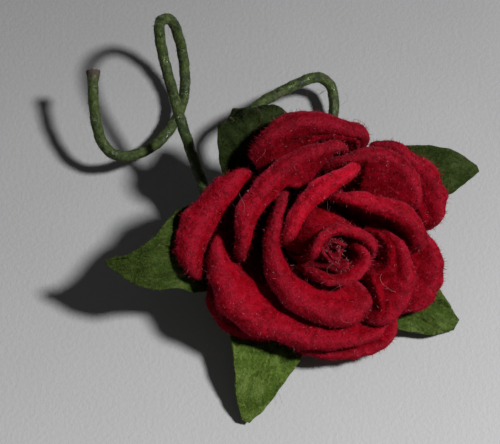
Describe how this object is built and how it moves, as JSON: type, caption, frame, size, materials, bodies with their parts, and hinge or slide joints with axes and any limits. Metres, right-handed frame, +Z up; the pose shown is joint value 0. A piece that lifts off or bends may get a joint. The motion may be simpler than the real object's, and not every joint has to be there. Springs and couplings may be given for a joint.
{
  "type": "paper rose",
  "caption": "Small handmade paper rose: curled red petals round a rolled bud, a green pointed calyx and a looped, paper-wrapped wire stem.",
  "frame": {"origin": "on the table, below the middle of the whole rose's box", "axes": "+Z up from the table, +Y from the viewer's side towards the stem loops, +X to the viewer's right"},
  "size_m": [0.0392, 0.0414, 0.0164],
  "materials": {
    "petal_paper": "soft fibrous handmade paper, dyed red",
    "calyx_paper": "fibrous handmade paper, dyed green",
    "wrap_paper": "tightly wound green paper strip, a little glossy with glue",
    "stem_steel": "dull cut wire"
  },
  "bodies": {
    "root": {"bud_core": "petal_paper", "petal_01": "petal_paper", "petal_02": "petal_paper", "petal_03": "petal_paper", "petal_04": "petal_paper", "petal_05": "petal_paper", "petal_06": "petal_paper", "petal_07": "petal_paper", "petal_08": "petal_paper", "petal_09": "petal_paper", "petal_10": "petal_paper", "petal_11": "petal_paper", "petal_12": "petal_paper", "petal_13": "petal_paper", "petal_14": "petal_paper", "petal_15": "petal_paper", "calyx": "calyx_paper", "stem_wrap": "wrap_paper", "stem_wire": "stem_steel"}
  },
  "joints": []
}
